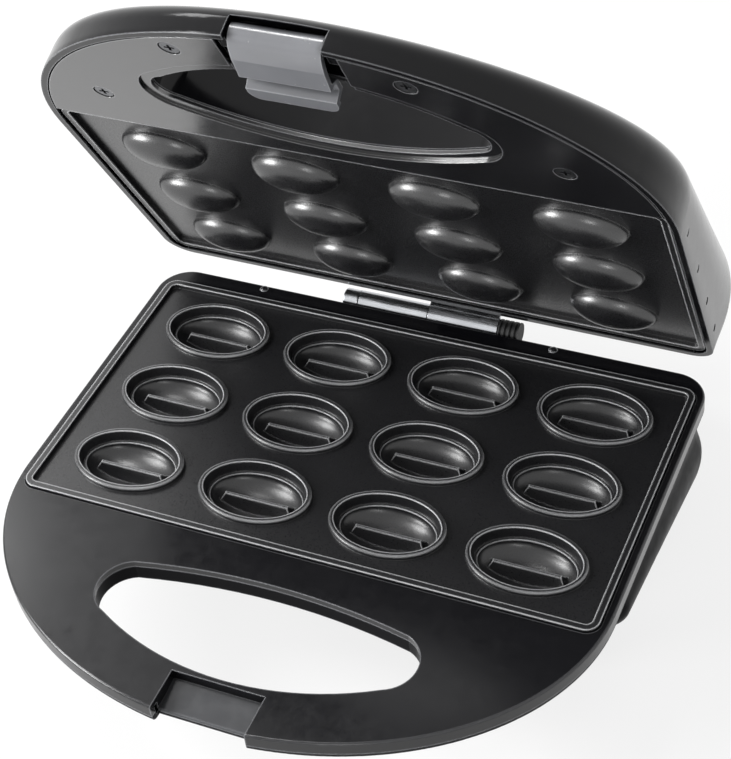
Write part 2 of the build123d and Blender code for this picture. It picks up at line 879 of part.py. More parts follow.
def lid_shell_openings():
    cuts = [between(lid_hole(), lid_rim_z - 1, 90)]
    cuts.append(block(-latch_notch, latch_notch, -160,
                      latch_pivot_y + latch_barrel + latch_barrel_gap, lid_rim_z - 1,
                      latch_slot_z))
    cuts.append(rod_x(-latch_notch - cheek - 1, latch_notch + cheek + 1, latch_pivot_y,
                      latch_pivot_z, latch_pin_radius))
    for x, y in both_sides(handle_screws):
        cuts.append(rod(x, y, 0, lid_rim_z + screw_length + 1, screw_shank + 0.05))
    cuts.append(rod_y(lead_x(), plate_back_y, case_back_y + 8, lid_lead_z(), wire_radius + 0.2))
    cuts.append(block(hinge_split_x - 1, hinge_right_x + 1.5, case_back_y, case_back_y + 20,
                      hinge_z - 3, hinge_z + leaf_reach + 1.5))
    for x in lid_leaf_screws():
        for z in leaf_screw_heights(1):
            cuts.append(rod_y(x, case_back_y - 8, case_back_y + 1, z, small_shank + 0.05))
    for side in (-1, 1):
        cuts.append(rod(side * lamp_x, lamp_y, 20, 90, lamp_radius + lamp_gap))
        for y in side_stud_y:
            x0 = min(side * (case_half - side_stud_depth - 0.4), side * (case_half + 2))
            x1 = max(side * (case_half - side_stud_depth - 0.4), side * (case_half + 2))
            cuts.append(rod_x(x0, x1, y, side_stud_z, side_stud_radius))
    return cuts


def make_side_studs():
    studs = []
    for side in (-1, 1):
        for y in side_stud_y:
            x0 = min(side * (case_half - side_stud_depth - 0.4), side * (case_half - 0.2))
            x1 = max(side * (case_half - side_stud_depth - 0.4), side * (case_half - 0.2))
            studs.append(rod_x(x0, x1, y, side_stud_z, side_stud_radius))
    return group(studs)


def make_lid_bezel():
    ledge_top = parting_gap - ledge_low_z
    upper_seat = parting_gap - seat_z
    outline = case_plan(lid_nose, bezel_inset)
    front = block(-200, 200, -200, plate_front_y - plate_gap, -10, 90)
    bezel = between(outline, lid_rim_z, lid_rim_z + bezel_thick) & front
    frame = between(plate_face(plate_gap + ledge_rim), lid_rim_z, ledge_top)
    frame -= between(plate_face(plate_gap), lid_rim_z - 1, upper_seat)
    frame -= between(plate_face(-ledge_width), lid_rim_z - 1, ledge_top + 1)
    lid_room = d_face(case_half - bezel_inset, case_back_y - lid_back_cut - wall - fit_gap,
                      nose_start_y, lid_nose, 8.0)
    frame &= between(lid_room, upper_seat, ledge_top) + (
        front & between(lid_room, lid_rim_z, ledge_top))
    bezel += frame
    for x, y in plate_screw_places():
        bezel += rod(x, y, upper_seat, ledge_top, plate_screw_tab)
    cuts = [between(lid_hole(), lid_rim_z - 1, 20)]
    cuts.append(between(lid_hole(lip_width), lid_rim_z - 1, lid_rim_z + lip_depth))
    cuts.append(block(-notch_half, notch_half, -160, lid_hole_front + 4, lid_rim_z - 1, 20))
    for x, y in both_sides(handle_screws):
        cuts.append(rod(x, y, lid_rim_z - 1, 20, screw_shank + 0.1))
        cuts.append(rod(x, y, lid_rim_z - 1, lid_rim_z + screw_sink + screw_head_thick,
                        screw_head + fit_gap))
    for x, y in plate_screw_places():
        cuts.append(rod(x, y, upper_seat - 1, ledge_top + 1, small_shank + 0.2))
    return bezel - cuts


def make_bezel_screws():
    return group([cross_screw(x, y, lid_rim_z + screw_sink, 1)
                  for x, y in both_sides(handle_screws)])


def roof_z(y):
    """Height of the crowned lid's top above a place well inside its edge."""
    return lid_rim_z + lid_slope * (y - lid_fan_y)


def make_lamp_lens(side):
    top = roof_z(lamp_y) + lamp_proud
    lens = rod(side * lamp_x, lamp_y, roof_z(lamp_y) - wall - lamp_flange - 1, top, lamp_radius)
    lens = fillet(lens.edges().group_by(Axis.Z)[-1], 1.6)
    flange_top = roof_z(lamp_y - 6) - wall - 0.4
    return lens + rod(side * lamp_x, lamp_y, flange_top - lamp_flange, flange_top,
                      lamp_radius + 1.4)


def make_lamp_bulbs():
    flange_low = roof_z(lamp_y - 6) - wall - 0.4 - lamp_flange
    lens_low = min(flange_low, roof_z(lamp_y) - wall - lamp_flange - 1)
    return group([rod(side * lamp_x, lamp_y, lens_low - 9, lens_low, 2.4) for side in (-1, 1)])


def lid_lead_z():
    """Height at which the feed lead leaves the closed lid, just over the bezel's back ledge."""
    return parting_gap - ledge_low_z + wire_radius + fit_gap


def make_lid_leads():
    """Leads of the upper heater, in the closed lid."""
    up_z = 2 * mid_z - element_z
    sheet_top = 2 * mid_z - can_z()
    can = thermostat_radius
    exit_z = lid_lead_z()
    flange_low = roof_z(lamp_y - 6) - wall - 0.4 - lamp_flange
    lens_low = min(flange_low, roof_z(lamp_y) - wall - lamp_flange - 1)
    pin_x = -element_leg_x - pin_length
    routes = [
        [(pin_x, -leg_y, up_z), (-wire_run_x, -leg_y, up_z), (-wire_run_x, -leg_y, sheet_top),
         (-wire_run_x, 0, sheet_top), (-can, 0, sheet_top)],
        [(can, 0, sheet_top), (lead_x(), 0, sheet_top), (lead_x(), 54, sheet_top),
         (lead_x(), 54, exit_z), (lead_x(), 67, exit_z)],
        [(pin_x, leg_y, up_z), (-wire_run_x, leg_y, up_z), (-wire_run_x, leg_y, sheet_top),
         (-lamp_x, leg_y, sheet_top), (-lamp_x, lamp_y, sheet_top),
         (-lamp_x, lamp_y, lens_low - 9)],
    ]
    return group([wire_tube(points, wire_radius, wire_bend) for points in routes])


# Latch

def latch_outline():
    """Side view of the clip as it hangs from the open lid, measured from its pivot.

    A rounded top, a flat skirt, a groove that bridges the strip of deck behind the catch,
    and a finger tab.
    """
    crease_y, crease_z = latch_crease
    skirt_y, skirt_z = latch_skirt_end
    inner_tab_z = latch_tab_z + latch_thick
    inner_groove_z = latch_groove_z + latch_thick
    front = [(-latch_barrel * 0.83, latch_barrel * 0.54), (-latch_barrel * 1.05, -1.1),
             (-1.2, -4.0), (2.0, -5.8), (crease_y, crease_z)]
    corners = [(crease_y, crease_z), (skirt_y, skirt_z), (latch_groove_start, latch_groove_z),
               (latch_groove_end, latch_groove_z), (latch_tab_start, latch_tab_z),
               (latch_tab_end, latch_tab_z), (latch_tab_end, inner_tab_z),
               (latch_tab_start + 1.4, inner_tab_z), (latch_groove_end + 1.6, inner_groove_z),
               (latch_groove_start + 0.5, inner_groove_z),
               (skirt_y - latch_thick * 0.8, skirt_z + latch_thick),
               (crease_y + 0.3, crease_z + latch_thick)]
    rear = [corners[-1], (2.9, -3.9), (0.7, -2.6), (-0.2, -1.6)]
    return make_face([Spline(*front), Polyline(*corners), Spline(*rear),
                      Line(rear[-1], front[0])])


def make_latch():
    """Curved clip, placed as it hangs in the open lid, in the lid's own closed frame."""
    clip = extrude(Plane.YZ * latch_outline(), latch_half, both=True)
    clip = fillet(clip.edges().filter_by(Axis.Z).sort_by(Axis.Y)[-2:], latch_tab_corner)
    clip += rod_x(-latch_half, latch_half, 0, 0, latch_barrel)
    clip -= rod_x(-latch_half - 1, latch_half + 1, 0, 0, latch_pin_radius + hinge_play)
    return Pos(0, latch_pivot_y, latch_pivot_z) * clip


def make_latch_pin():
    reach = latch_notch + cheek - 0.4
    return rod_x(-reach, reach, latch_pivot_y, latch_pivot_z, latch_pin_radius)


# Assembly

base_parts = {
    "base_shell": make_base_shell,
    "base_deck": make_base_deck,
    "latch_catch": make_latch_catch,
    "lower_mould_plate": make_lower_plate,
    "lower_heating_element": make_element,
    "lower_element_clamps": make_clamps,
    "lower_clamp_screws": make_clamp_screws,
    "lower_heat_reflector": make_reflector,
    "lower_reflector_screws": make_reflector_screws,
    "lower_plate_screws": make_plate_screws,
    "lower_thermostat": make_thermostat,
    "lower_thermal_fuse": make_fuse,
    "terminal_block": make_terminal_block,
    "base_leads": make_base_leads,
    "cord_gland": make_cord_gland,
    "front_feet": lambda: make_feet(front_foot),
    "rear_feet": lambda: make_feet(rear_foot),
    "base_screws": make_base_screws,
    "ledge_bumps": make_ledge_bumps,
    "hinge_base_leaf": lambda: make_leaf(hinge_left_x, hinge_split_x, -1),
    "hinge_base_screws": lambda: make_leaf_screws(base_leaf_screws(), -1),
    "hinge_pin": make_hinge_pin,
    "hinge_cable_sleeve": make_sleeve,
}

lid_parts = {
    "lid_shell": make_lid_shell,
    "lid_bezel": make_lid_bezel,
    "upper_mould_plate": make_upper_plate,
    "upper_heating_element": lambda: upside_down(make_element()),
    "upper_element_clamps": lambda: upside_down(make_clamps()),
    "upper_clamp_screws": lambda: upside_down(make_clamp_screws()),
    "upper_heat_reflector": lambda: upside_down(make_reflector()),
    "upper_reflector_screws": lambda: upside_down(make_reflector_screws()),
    "upper_plate_screws": lambda: upside_down(make_plate_screws()),
    "upper_thermostat": lambda: upside_down(make_thermostat()),
    "lid_leads": make_lid_leads,
    "bezel_screws": make_bezel_screws,
    "side_studs": make_side_studs,
    "power_lamp_lens": lambda: make_lamp_lens(-1),
    "ready_lamp_lens": lambda: make_lamp_lens(1),
    "lamp_bulbs": make_lamp_bulbs,
    "hinge_lid_leaf": lambda: make_leaf(hinge_split_x + knuckle_gap, hinge_right_x, 1),
    "hinge_lid_screws": lambda: make_leaf_screws(lid_leaf_screws(), 1),
    "latch_pin": make_latch_pin,
}

latch_parts = {"latch": make_latch}

hinge_axis = Axis((0, hinge_y, hinge_z), (1, 0, 0))


def open_lid(shape):
    return shape.rotate(hinge_axis, -lid_open_deg)


def assemble():
    placed = {name: make() for name, make in base_parts.items()}
    for parts in (lid_parts, latch_parts):
        placed.update({name: open_lid(make()) for name, make in parts.items()})
    return placed


def to_row_frame(placed):
    """Shift that puts the origin under the middle of the open appliance, on the table."""
    low = min(shape.bounding_box().min.Y for shape in placed.values())
    high = max(shape.bounding_box().max.Y for shape in placed.values())
    return Pos(0, -(low + high) / 2, -floor_z)


def report_axes(shift):
    pivot = Vector(0, latch_pivot_y, latch_pivot_z)
    opened = Vertex(pivot).rotate(hinge_axis, -lid_open_deg)
    for name, point in (("lid hinge", Vector(0, hinge_y, hinge_z)), ("latch pivot", opened),
                        ("gland", Vector(gland_x, gland_seat_y + gland_outside, gland_z)),
                        ("front foot", Vector(front_foot[0], front_foot[1], floor_z))):
        place = (shift * Vertex(point)).center() if isinstance(point, Vector) else (
            shift * point).center()
        print(name, [round(value / 1000, 5) for value in place])


if __name__ == "__main__":
    os.makedirs("parts", exist_ok=True)
    pieces = assemble()
    row_shift = to_row_frame(pieces)
    for name, shape in pieces.items():
        export_step(row_shift * shape, f"parts/{name}.step")
    report_axes(row_shift)
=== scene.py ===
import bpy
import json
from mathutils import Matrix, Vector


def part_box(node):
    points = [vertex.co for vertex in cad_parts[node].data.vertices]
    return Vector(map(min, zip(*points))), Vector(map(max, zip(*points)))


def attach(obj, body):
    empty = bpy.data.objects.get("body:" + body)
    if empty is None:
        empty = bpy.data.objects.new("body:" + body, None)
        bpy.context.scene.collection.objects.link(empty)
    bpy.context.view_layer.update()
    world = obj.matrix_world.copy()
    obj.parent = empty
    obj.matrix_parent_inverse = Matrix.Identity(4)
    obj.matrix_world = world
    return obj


bl_info = {
    "name": "Nut cookie maker",
    "version": (1, 0, 0),
    "blender": (4, 5, 0),
    "location": "3D View > Sidebar > Cookie maker",
    "description": "Dresses the nut cookie maker's packed parts and sets its studio",
    "category": "Object",
}

import json
from math import cos, radians, sin

import bmesh
import bpy
from mathutils import Matrix, Vector

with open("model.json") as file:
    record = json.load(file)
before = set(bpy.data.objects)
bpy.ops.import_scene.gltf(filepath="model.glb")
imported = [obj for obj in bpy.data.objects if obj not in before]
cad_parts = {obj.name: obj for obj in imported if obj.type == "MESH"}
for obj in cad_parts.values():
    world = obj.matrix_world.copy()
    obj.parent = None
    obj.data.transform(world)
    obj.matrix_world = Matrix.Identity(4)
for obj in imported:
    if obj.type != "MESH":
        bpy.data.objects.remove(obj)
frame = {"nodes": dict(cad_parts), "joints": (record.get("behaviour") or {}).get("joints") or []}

MM = 0.001
LID_HINGE = next(joint for joint in frame["joints"] if joint["name"] == "lid_hinge")
HINGE = Vector(LID_HINGE["pos_m"])
LID_OPEN = radians(62.1)

# The camera, fitted to the photograph's view.
CAMERA_FROM_HINGE = Vector((241.13, -518.75, 500.78)) * MM
CAMERA_YAW = radians(27.93)
CAMERA_DOWN = radians(42.86)
CAMERA_ROLL = radians(-7.17)
SENSOR_WIDTH = 36.0

# Place, aim, width in metres and power in watts of each lamp.
LAMPS = (
    ((-0.95, -0.3, 0.9), (0.0, 0.0, 0.1), 0.5, 12.0),
    ((-0.95, -0.7, 0.35), (0.0, 0.0, 0.1), 0.4, 12.0),
    ((-0.5, 0.2, 1.5), (0.0, 0.0, 0.1), 0.25, 5.0),
    ((-0.95, 0.62, 1.05), (-0.1, -0.08, 0.05), 0.25, 1.6),
    ((0.3, -1.3, 0.5), (0.0, 0.0, 0.1), 0.3, 2.0),
)
SKY_LIGHT = 0.5  # strength of the white surroundings as a light
FLOOR_GLOW = 0.8  # share of plain white in the floor where it is looked at

# Where the lines that meet a part's skin start.
ABOVE_LID = 0.2
UNDER_TABLE = -0.02


def linear(text):
    """Turn an sRGB hex colour into linear red, green, blue and alpha."""
    values = [int(text[i:i + 2], 16) / 255 for i in (1, 3, 5)]
    return [v / 12.92 if v <= 0.04045 else ((v + 0.055) / 1.055) ** 2.4 for v in values] + [1.0]


WHITE = linear("#ffffff")
# Pale greys painted onto proud edges as highlights.
PAINTED_EDGE_HIGHLIGHT_PLASTIC = linear("#a9aaae")
PAINTED_EDGE_HIGHLIGHT_COATING = linear("#d3d4d6")
# Near black painted into crevices and gaps between parts as shade.
PAINTED_SHADE_BLACK = linear("#050506")

# Where a painted highlight along an edge starts and ends: the cosine between its wide rounding
# and its own face, and how open the air is round it.
EDGE_TURN = (0.992, 0.93)
EDGE_OPENNESS = (0.82, 0.97)


def colour_setting(name, description, text):
    return bpy.props.FloatVectorProperty(
        name=name, description=description, default=linear(text), size=4, min=0.0, max=1.0,
        subtype="COLOR")


class CasingFinish(bpy.types.PropertyGroup):
    """Finish of the moulded casing parts."""
    shell_colour: colour_setting("Shell", "Glossy outer casings", "#0d0d0f")
    trim_colour: colour_setting("Trim", "Deck and lid bezel", "#0d0d10")
    # Painted sheen: the clip is black plastic, and its grey colour stands in for the light it
    # reflects.
    clip_colour_with_sheen: colour_setting("Clip", "Latch clip", "#66676b")
    catch_colour: colour_setting("Catch", "Sloped catch in the deck", "#2b2c2f")
    edge_round: bpy.props.FloatProperty(
        name="Edge round", description="Radius that moulded edges catch the light with",
        default=0.35 * MM, min=0.0, max=2 * MM, unit="LENGTH")


class PlateFinish(bpy.types.PropertyGroup):
    """Finish of the coated hot plates."""
    coating_colour: colour_setting("Coating", "Non-stick coating", "#141416")
    grain: bpy.props.FloatProperty(
        name="Grain", description="Size of the coating's orange peel",
        default=1.1 * MM, min=0.2 * MM, max=10 * MM, unit="LENGTH")


class MetalFinish(bpy.types.PropertyGroup):
    """Finish of the hinge, screws, heaters and reflectors."""
    zinc_colour: colour_setting("Zinc", "Plated steel of hinge and clamps", "#c4c6ca")
    screw_colour: colour_setting("Screws", "Plated screws", "#b9babd")
    dark_screw_colour: colour_setting("Dark screws", "Blackened casing screws", "#77787b")
    sheath_colour: colour_setting("Sheath", "Heat-tinted heater tube", "#8b7c70")
    reflector_colour: colour_setting("Reflector", "Rolled aluminium", "#dfe0e2")


def length_setting(name, description, size):
    return bpy.props.FloatProperty(
        name=name, description=description, default=size, min=-1.0, max=1.0, unit="LENGTH")


class TrimSizes(bpy.types.PropertyGroup):
    """Sizes of the small trim pieces."""
    lamp_reach: length_setting("Lamp reach", "From the hinge line to the lamps", 39.1 * MM)
    ring_radius: length_setting("Ring radius", "Middle of the lamp ring's wire", 4.1 * MM)
    ring_thickness: length_setting("Ring wire", "Radius of the ring's wire", 0.6 * MM)
    plate_x: length_setting("Plate across", "Place of the rating plate, left to right", 48 * MM)
    plate_y: length_setting("Plate depth", "Place of the rating plate, front to back", 32 * MM)
    plate_length: length_setting("Plate length", "Length of the rating plate", 50 * MM)
    plate_width: length_setting("Plate width", "Width of the rating plate", 28 * MM)
    plate_thickness: length_setting("Plate thickness", "Thickness of its foil", 0.5 * MM)
    plate_corner: length_setting("Plate corners", "Radius of the plate's corners", 3 * MM)
    plate_rim: length_setting("Plate rim", "Width of the plate's raised rim", 1.2 * MM)


class StudioSettings(bpy.types.PropertyGroup):
    """Camera, floor and lamps."""
    lens: bpy.props.FloatProperty(
        name="Lens", description="Focal length on a 36 mm sensor", default=91.22, min=10.0,
        max=300.0)
    floor_size: bpy.props.FloatProperty(
        name="Floor", description="Width of the floor", default=8.0, min=1.0, max=20.0,
        unit="LENGTH")
    floor_colour: colour_setting("Floor", "Pale floor", "#f4f4f4")


# Materials

def add_node(tree, kind, inputs=None, **settings):
    """Add a node, set its properties, and give each input a value or a link."""
    node = tree.nodes.new(kind)
    for name, value in settings.items():
        setattr(node, name, value)
    for key, value in (inputs or {}).items():
        if isinstance(value, bpy.types.NodeSocket):
            tree.links.new(value, node.inputs[key])
        else:
            node.inputs[key].default_value = value
    return node


def new_material(name):
    material = bpy.data.materials.new(name)
    material.use_nodes = True
    material.node_tree.nodes.clear()
    return material, material.node_tree


def close_material(tree, shader):
    add_node(tree, "ShaderNodeOutputMaterial", {"Surface": shader.outputs[0]})


def noise(tree, size, detail=2.0, roughness=0.5, stretch=(1.0, 1.0, 1.0)):
    """Noise whose blotches are about the given real size, in metres."""
    place = add_node(tree, "ShaderNodeTexCoord")
    scaled = add_node(tree, "ShaderNodeMapping", {
        "Vector": place.outputs["Object"], "Scale": [s / size for s in stretch]})
    return add_node(tree, "ShaderNodeTexNoise", {
        "Vector": scaled.outputs[0], "Scale": 1.0, "Detail": detail, "Roughness": roughness})


def spread(tree, source, low, high):
    """Map a pattern from its middle range to low and high."""
    return add_node(tree, "ShaderNodeMapRange", {
        "Value": source, "From Min": 0.3, "From Max": 0.7, "To Min": low, "To Max": high})


def tone(tree, factor, first, second):
    return add_node(tree, "ShaderNodeMix", {
        "Factor": factor, "A": first, "B": second}, data_type="RGBA")


def shade(colour, amount):
    return [min(1.0, c * amount) for c in colour[:3]] + [1.0]


def round_edges_and_highlight_mask(tree, radius, reach, amount):
    """Rounded normals, and a mask for painted highlights, high only along the proud edges."""
    edges = add_node(tree, "ShaderNodeBevel", {"Radius": radius}, samples=4)
    wide = add_node(tree, "ShaderNodeBevel", {"Radius": reach}, samples=4)
    face = add_node(tree, "ShaderNodeNewGeometry")
    likeness = add_node(tree, "ShaderNodeVectorMath", {
        0: wide.outputs[0], 1: face.outputs["Normal"]}, operation="DOT_PRODUCT")
    turned = add_node(tree, "ShaderNodeMapRange", {
        "Value": likeness.outputs["Value"], "From Min": EDGE_TURN[0],
        "From Max": EDGE_TURN[1], "To Min": 0.0, "To Max": amount})
    open_air = add_node(tree, "ShaderNodeAmbientOcclusion", {
        "Distance": 1.5 * reach}, samples=4, only_local=True)
    proud = add_node(tree, "ShaderNodeMapRange", {
        "Value": open_air.outputs["AO"], "From Min": EDGE_OPENNESS[0],
        "From Max": EDGE_OPENNESS[1]})
    highlight_mask = add_node(tree, "ShaderNodeMath", {
        0: turned.outputs[0], 1: proud.outputs[0]}, operation="MULTIPLY")
    return edges, highlight_mask


def moulded_plastic(name, colour, rounding, roughness, haze, gloss, edge_highlight=0.5, index=1.54):
    """ABS from a polished tool: it mirrors softly, with slow waves where the melt cooled,
    painted highlights along its edges and painted shade in its crevices.
    """
    flow, highlight_reach, shade_reach = 14 * MM, 0.7 * MM, 3 * MM
    material, tree = new_material(name)
    waves = noise(tree, flow, detail=1.0)
    clouds = noise(tree, 5 * MM, detail=4.0, roughness=0.65)
    rough = spread(tree, clouds.outputs["Fac"], roughness - haze, roughness + haze)
    plain = tone(tree, waves.outputs["Fac"], shade(colour, 0.85), shade(colour, 1.15))
    edges, highlight_mask = round_edges_and_highlight_mask(tree, rounding, highlight_reach, edge_highlight)
    # Painted highlight: the proud edges are lightened towards a pale grey.
    highlighted = tone(tree, highlight_mask.outputs[0], plain.outputs["Result"], PAINTED_EDGE_HIGHLIGHT_PLASTIC)
    # Painted shade: crevices and gaps between parts darken towards near black.
    painted_shade = add_node(tree, "ShaderNodeAmbientOcclusion", {
        "Color": highlighted.outputs["Result"], "Distance": shade_reach}, samples=4)
    mixed = tone(tree, painted_shade.outputs["AO"], PAINTED_SHADE_BLACK, painted_shade.outputs["Color"])
    bumps = add_node(tree, "ShaderNodeBump", {
        "Height": waves.outputs["Fac"], "Strength": 0.025, "Distance": flow * 0.02,
        "Normal": edges.outputs[0]})
    shader = add_node(tree, "ShaderNodeBsdfPrincipled", {
        "Base Color": mixed.outputs["Result"], "Roughness": rough.outputs[0],
        "IOR": index, "Specular IOR Level": gloss, "Normal": bumps.outputs[0]})
    close_material(tree, shader)
    return material


def coated_casting(name, colour, grain, roughness, gloss, index):
    """PTFE sprayed on die-cast aluminium: fine orange peel, broken gloss, painted highlights on
    the edges.
    """
    material, tree = new_material(name)
    peel = noise(tree, grain, detail=3.0, roughness=0.6)
    cloud = noise(tree, 22 * MM, detail=3.0)
    speck = noise(tree, 0.45 * MM, detail=2.0, roughness=0.8)
    plain = tone(tree, cloud.outputs["Fac"], shade(colour, 0.75), shade(colour, 1.3))
    rough = spread(tree, speck.outputs["Fac"], 0.8 * roughness, 1.2 * roughness)
    edges, highlight_mask = round_edges_and_highlight_mask(tree, 0.4 * MM, 0.9 * MM, 1.0)
    # Painted highlight: the proud edges are lightened towards a pale grey.
    mixed = tone(tree, highlight_mask.outputs[0], plain.outputs["Result"], PAINTED_EDGE_HIGHLIGHT_COATING)
    bumps = add_node(tree, "ShaderNodeBump", {
        "Height": peel.outputs["Fac"], "Strength": 0.08, "Distance": 0.12 * MM,
        "Normal": edges.outputs[0]})
    shader = add_node(tree, "ShaderNodeBsdfPrincipled", {
        "Base Color": mixed.outputs["Result"], "Roughness": rough.outputs[0],
        "IOR": index, "Specular IOR Level": gloss, "Normal": bumps.outputs[0]})
    close_material(tree, shader)
    return material


def drawn_metal(name, colour, roughness, stretch):
    """Rolled or drawn metal: fine lines along the way it was worked, painted shade in its gaps.
    """
    material, tree = new_material(name)
    lines = noise(tree, 0.4 * MM, detail=2.0, stretch=stretch)
    patch = noise(tree, 9 * MM, detail=2.0)
    clean = tone(tree, patch.outputs["Fac"], shade(colour, 0.82), shade(colour, 1.1))
    # Painted shade: the metal darkens to near black in its gaps.
    gap_shade = add_node(tree, "ShaderNodeAmbientOcclusion", {
        "Color": clean.outputs["Result"], "Distance": 1.0 * MM}, samples=4)
    mixed = tone(tree, gap_shade.outputs["AO"], shade(colour, 0.05), gap_shade.outputs["Color"])
    rough = spread(tree, lines.outputs["Fac"], roughness * 0.7, roughness * 1.3)
    edges = add_node(tree, "ShaderNodeBevel", {"Radius": 0.2 * MM}, samples=4)
    bumps = add_node(tree, "ShaderNodeBump", {
        "Height": lines.outputs["Fac"], "Strength": 0.1, "Distance": 0.05 * MM,
        "Normal": edges.outputs[0]})
    shader = add_node(tree, "ShaderNodeBsdfPrincipled", {
        "Base Color": mixed.outputs["Result"], "Metallic": 1.0, "Roughness": rough.outputs[0],
        "Normal": bumps.outputs[0]})
    close_material(tree, shader)
    return material


def dull_moulding(name, colour, roughness):
    """Rubber or unpolished plastic: an even dull skin with a fine spark-eroded grain."""
    material, tree = new_material(name)
    skin = noise(tree, 0.8 * MM, detail=3.0, roughness=0.7)
    mixed = tone(tree, skin.outputs["Fac"], shade(colour, 0.8), shade(colour, 1.2))
    rough = spread(tree, skin.outputs["Fac"], roughness - 0.08, roughness + 0.08)
    bumps = add_node(tree, "ShaderNodeBump", {
        "Height": skin.outputs["Fac"], "Strength": 0.2, "Distance": 0.1 * MM})
    shader = add_node(tree, "ShaderNodeBsdfPrincipled", {
        "Base Color": mixed.outputs["Result"], "Roughness": rough.outputs[0],
        "IOR": 1.5, "Normal": bumps.outputs[0]})
    close_material(tree, shader)
    return material


def woven_sleeve(name, colour):
    """Glass-fibre braid: two crossing sets of threads."""
    threads_apart = 0.6 * MM
    lean = 35
    # A wave texture turns through 20 radians in each unit of its scaled coordinate.
    scale = radians(360) / 20 / threads_apart
    material, tree = new_material(name)
    place = add_node(tree, "ShaderNodeTexCoord")
    waves = []
    for turn in (radians(lean), radians(-lean)):
        turned = add_node(tree, "ShaderNodeMapping", {
            "Vector": place.outputs["Object"], "Rotation": (turn, turn, turn)})
        waves.append(add_node(tree, "ShaderNodeTexWave", {
            "Vector": turned.outputs[0], "Scale": scale, "Distortion": 0.4}))
    cross = add_node(tree, "ShaderNodeMath", {
        0: waves[0].outputs["Fac"], 1: waves[1].outputs["Fac"]}, operation="MAXIMUM")
    mixed = tone(tree, cross.outputs[0], shade(colour, 0.55), colour)
    bumps = add_node(tree, "ShaderNodeBump", {
        "Height": cross.outputs[0], "Strength": 0.5, "Distance": 0.2 * MM})
    shader = add_node(tree, "ShaderNodeBsdfPrincipled", {
        "Base Color": mixed.outputs["Result"], "Roughness": 0.8, "Normal": bumps.outputs[0]})
    close_material(tree, shader)
    return material


def lamp_plastic(name, colour):
    """Tinted acrylic lens: light passes, and the faceted inside shows as soft streaks."""
    material, tree = new_material(name)
    facets = noise(tree, 1.6 * MM, detail=0.0)
    mixed = tone(tree, facets.outputs["Fac"], shade(colour, 0.7), shade(colour, 1.2))
    bumps = add_node(tree, "ShaderNodeBump", {
        "Height": facets.outputs["Fac"], "Strength": 0.15, "Distance": 0.1 * MM})
    shader = add_node(tree, "ShaderNodeBsdfPrincipled", {
        "Base Color": mixed.outputs["Result"], "Roughness": 0.08, "IOR": 1.49,
        "Transmission Weight": 0.55, "Normal": bumps.outputs[0]})
    close_material(tree, shader)
    return material


def bulb_glass(name):
    """Clear drawn glass, faintly wavy."""
    material, tree = new_material(name)
    waves = noise(tree, 3 * MM, detail=1.0)
    bumps = add_node(tree, "ShaderNodeBump", {
        "Height": waves.outputs["Fac"], "Strength": 0.1, "Distance": 0.1 * MM})
    shader = add_node(tree, "ShaderNodeBsdfPrincipled", {
        "Base Color": linear("#f3ead8"), "Roughness": 0.03, "IOR": 1.5,
        "Transmission Weight": 0.9, "Normal": bumps.outputs[0]})
    close_material(tree, shader)
    return material


def dress(material, *names):
    """Give a material to CAD nodes."""
    for name in names:
        node = frame["nodes"][name]
        for slot in node.material_slots:
            slot.material = material


# Operators

class DressCasings(bpy.types.Operator):
    """Finish the casings, the deck and the lid bezel"""
    bl_idname = "cookie_maker.dress_casings"
    bl_label = "Casings"

    def execute(self, context):
        finish = context.scene.casing_finish
        rounding = finish.edge_round
        shell = moulded_plastic("gloss_abs", finish.shell_colour, rounding, roughness=0.12,
                                haze=0.03, gloss=0.2)
        lower = moulded_plastic("base_abs", finish.shell_colour, rounding, roughness=0.36,
                                haze=0.05, gloss=0.03)
        deck = moulded_plastic("deck_abs", finish.trim_colour, rounding, roughness=0.2,
                               haze=0.04, gloss=0.42)
        bumps = moulded_plastic("bump_nylon", finish.shell_colour, 0.2 * MM, roughness=0.2,
                                haze=0.04, gloss=0.6, edge_highlight=0.9)
        bezel = moulded_plastic("bezel_abs", finish.trim_colour, rounding, roughness=0.17,
                                haze=0.03, gloss=1.0, index=1.7)
        dress(shell, "lid_shell")
        dress(lower, "base_shell")
        dress(deck, "base_deck")
        dress(bumps, "ledge_bumps", "side_studs")
        dress(bezel, "lid_bezel")
        return {"FINISHED"}


class DressPlates(bpy.types.Operator):
    """Finish the two coated hot plates"""
    bl_idname = "cookie_maker.dress_plates"
    bl_label = "Hot plates"

    def execute(self, context):
        finish = context.scene.plate_finish
        lower = coated_casting("ptfe_lower_plate", finish.coating_colour, finish.grain,
                               roughness=0.31, gloss=0.5, index=1.6)
        upper = coated_casting("ptfe_upper_plate", finish.coating_colour, finish.grain,
                               roughness=0.29, gloss=0.7, index=1.65)
        dress(lower, "lower_mould_plate")
        dress(upper, "upper_mould_plate")
        return {"FINISHED"}


class DressLatch(bpy.types.Operator):
    """Finish the latch clip and its catch"""
    bl_idname = "cookie_maker.dress_latch"
    bl_label = "Latch"

    def execute(self, context):
        finish = context.scene.casing_finish
        rounding = finish.edge_round
        # The clip's grey colour is a painted sheen on black plastic.
        clip = moulded_plastic("latch_abs", finish.clip_colour_with_sheen, rounding, roughness=0.24,
                               haze=0.04, gloss=0.9)
        catch = moulded_plastic("catch_abs", finish.catch_colour, rounding, roughness=0.45,
                                haze=0.05, gloss=0.3)
        dress(clip, "latch")
        dress(catch, "latch_catch")
        return {"FINISHED"}


